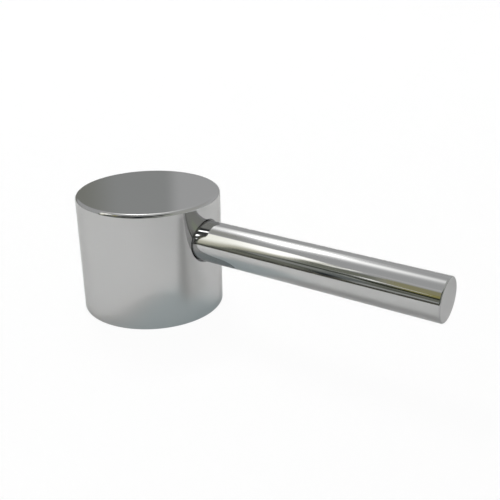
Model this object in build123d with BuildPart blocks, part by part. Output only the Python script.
"""Replacement tap handle: a round cap with a straight pin lever, for a single-lever mixer tap.

The origin is on the cap's axis, in the plane of its lower rim. +Z is up and the lever points along +X.
All sizes are in millimetres.
"""

from build123d import *
import os
from math import radians, tan

# Cap outside
cap_diameter = 45.0
cap_height = 37.0
top_edge_radius = 1.1
rim_edge_chamfer = 0.3
mouth_edge_chamfer = 0.3

# Cap inside, as cast
skirt_wall = 2.8
skirt_depth = 11.0
crown_thickness = 4.0
hub_diameter = 18.0
web_thickness = 3.0
web_recess = 1.0
core_step = 0.6
core_corner_radius = 1.2
boss_wall = 2.4
draft_angle = 1.0

# Socket for the square stem of the valve
stem_width = 8.0
stem_clearance = 0.1
socket_depth = 13.0
socket_corner_radius = 0.6
socket_lead_in = 0.6

# Pin lever, with its axis this far under the top face
lever_diameter = 12.5
lever_reach = 75.0
lever_drop = 12.0
lever_edge_radius = 0.5
lever_base_chamfer = 0.3
seat_depth = 1.8
seat_clearance = 0.2

# Threaded stud between the cap and the lever
stud_diameter = 8.0
stud_length = 20.0
stud_in_cap = 9.5
stud_end_gap = 1.2
stud_key = 4.0
stud_key_depth = 4.5

# Set screw that grips the stem, this far over the hub's lower face
screw_diameter = 5.0
screw_length = 8.0
screw_rise = 6.0
screw_retreat = 0.5
screw_key = 2.5
screw_key_depth = 3.0
screw_access_diameter = 6.2
screw_access_gap = 1.5

# Threads are plain cylinders with this much room round them
thread_clearance = 0.05
drill_point_angle = 59.0
drill_web = 0.3

# Worked out from the sizes above
cap_radius = cap_diameter / 2
skirt_radius = cap_radius - skirt_wall
core_radius = skirt_radius - skirt_depth * tan(radians(draft_angle)) - core_step
web_underside = skirt_depth + web_recess
crown_underside = cap_height - crown_thickness
socket_width = stem_width + 2 * stem_clearance
stud_boss_width = stud_diameter + 2 * boss_wall
screw_boss_width = screw_access_diameter + 2 * boss_wall

# Places along the lever's axis
lever_height = cap_height - lever_drop
seat_floor = cap_radius - seat_depth
lever_end = cap_radius + lever_reach
stud_start = seat_floor - stud_in_cap
stud_in_lever = stud_length - stud_in_cap

# Places along the set screw's axis, which points to -X
screw_height = skirt_depth + screw_rise
screw_tip = socket_width / 2 + screw_retreat
thread_end = screw_tip + screw_length + screw_access_gap

os.makedirs("parts", exist_ok=True)


def facing_out(x, z):
    """A plane across the X axis that faces +X."""
    return Plane(origin=(x, 0, z), x_dir=(0, 1, 0), z_dir=(1, 0, 0))


def facing_back(x, z):
    """A plane across the X axis that faces -X."""
    return Plane(origin=(x, 0, z), x_dir=(0, -1, 0), z_dir=(-1, 0, 0))


def drilled_hole(place, diameter, depth):
    """The space of a blind hole that starts on the plane, runs the way it faces and ends in a drill point."""
    with BuildPart() as hole:
        with BuildSketch(place):
            Circle(diameter / 2)
        extrude(amount=depth)
        with BuildSketch(place.offset(depth)):
            Circle(diameter / 2)
        point = (diameter / 2 - drill_web) / tan(radians(drill_point_angle))
        extrude(amount=point, taper=drill_point_angle)
    return hole.part


def set_screw(place, diameter, length, key_width, key_depth):
    """A headless screw with its cup point on the plane and its hexagon socket at the far end, facing the same way."""
    end_chamfer = diameter / 10
    cup_radius = diameter / 4
    with BuildPart() as screw:
        with BuildSketch(place):
            Circle(diameter / 2 - thread_clearance)
        extrude(amount=length)
        chamfer(screw.faces().filter_by(GeomType.PLANE).edges(), end_chamfer)
        with BuildSketch(place):
            Circle(cup_radius)
        extrude(amount=cup_radius - drill_web, taper=45, mode=Mode.SUBTRACT)
        with BuildSketch(place.offset(length)):
            RegularPolygon(key_width / 2, 6, major_radius=False)
        extrude(amount=-key_depth, mode=Mode.SUBTRACT)
    return screw.part


stud_hole_in_cap = drilled_hole(
    facing_back(seat_floor, lever_height), stud_diameter, stud_in_cap + stud_end_gap
)
stud_hole_in_lever = drilled_hole(
    facing_out(seat_floor, lever_height), stud_diameter, stud_in_lever + stud_end_gap
)

# Cap: one chrome-plated casting with its hub, webs and bosses
with BuildPart() as cap:
    Cylinder(cap_radius, cap_height, align=(Align.CENTER, Align.CENTER, Align.MIN))
    fillet(cap.faces().sort_by(Axis.Z)[-1].edges(), top_edge_radius)
    chamfer(cap.faces().sort_by(Axis.Z)[0].edges(), rim_edge_chamfer)

    # The open skirt goes over the valve's dome
    with BuildSketch():
        Circle(skirt_radius)
    extrude(amount=skirt_depth, taper=draft_angle, mode=Mode.SUBTRACT)
    with BuildSketch(Plane.XY.offset(skirt_depth)):
        Circle(core_radius)
        Circle(hub_diameter / 2, mode=Mode.SUBTRACT)
    extrude(amount=web_recess, mode=Mode.SUBTRACT)

    # Four cored pockets leave the hub, two webs and the bosses of the stud and the set screw
    with BuildSketch(Plane.XY.offset(web_underside)) as pockets:
        Circle(core_radius)
        Circle(hub_diameter / 2, mode=Mode.SUBTRACT)
        Rectangle(cap_radius, stud_boss_width, align=(Align.MIN, Align.CENTER), mode=Mode.SUBTRACT)
        Rectangle(cap_radius, screw_boss_width, align=(Align.MAX, Align.CENTER), mode=Mode.SUBTRACT)
        Rectangle(web_thickness, cap_diameter, mode=Mode.SUBTRACT)
        fillet(pockets.vertices(), core_corner_radius)
    extrude(amount=crown_underside - web_underside, mode=Mode.SUBTRACT)

    # Square socket for the stem, with rounded corners and a lead-in
    with BuildSketch(Plane.XY.offset(skirt_depth)):
        RectangleRounded(socket_width, socket_width, socket_corner_radius)
    extrude(amount=socket_depth, mode=Mode.SUBTRACT)
    mouth_width = socket_width + 2 * socket_lead_in
    with BuildSketch(Plane.XY.offset(skirt_depth)):
        RectangleRounded(mouth_width, mouth_width, socket_corner_radius + socket_lead_in)
    extrude(amount=socket_lead_in, taper=45, mode=Mode.SUBTRACT)

    # Round seat for the lever's end, cut into the curved wall, and the tapped hole behind it
    with BuildSketch(facing_out(seat_floor, lever_height)):
        Circle(lever_diameter / 2 + seat_clearance)
    extrude(amount=2 * seat_depth, mode=Mode.SUBTRACT)
    seat_edges = cap.edges(Select.LAST).filter_by(GeomType.LINE, reverse=True)
    seat_mouth = seat_edges.group_by(Axis.X)[-1]
    chamfer(seat_mouth, mouth_edge_chamfer)
    add(stud_hole_in_cap, mode=Mode.SUBTRACT)

    # Tapped hole for the set screw, with a wider way in for the key
    with BuildSketch(facing_back(0, screw_height)):
        Circle(screw_diameter / 2)
    extrude(amount=thread_end, mode=Mode.SUBTRACT)
    with BuildSketch(facing_back(-thread_end, screw_height)):
        Circle(screw_access_diameter / 2)
    extrude(amount=cap_radius, mode=Mode.SUBTRACT)
    access_edges = cap.edges(Select.LAST).filter_by(GeomType.LINE, reverse=True)
    access_mouth = access_edges.group_by(Axis.X)[0]
    chamfer(access_mouth, mouth_edge_chamfer)

# Lever: a plain bar with softly broken edges, tapped at its base
with BuildPart() as lever:
    with BuildSketch(facing_out(seat_floor, lever_height)):
        Circle(lever_diameter / 2)
    extrude(amount=lever_end - seat_floor)
    fillet(lever.faces().sort_by(Axis.X)[-1].edges(), lever_edge_radius)
    chamfer(lever.faces().sort_by(Axis.X)[0].edges(), lever_base_chamfer)
    add(stud_hole_in_lever, mode=Mode.SUBTRACT)

# Stud: joins the lever to the cap, with its key socket inside the lever
stud = set_screw(
    facing_out(stud_start, lever_height),
    stud_diameter,
    stud_length,
    stud_key,
    stud_key_depth,
)

# Set screw: its point faces the stem and its key socket faces the access hole
screw = set_screw(
    facing_back(-screw_tip, screw_height),
    screw_diameter,
    screw_length,
    screw_key,
    screw_key_depth,
)

cap.part.label = "handle_cap"
lever.part.label = "pin_lever"
stud.label = "lever_stud"
screw.label = "stem_set_screw"
export_step(cap.part, "parts/handle_cap.step")
export_step(lever.part, "parts/pin_lever.step")
export_step(stud, "parts/lever_stud.step")
export_step(screw, "parts/stem_set_screw.step")
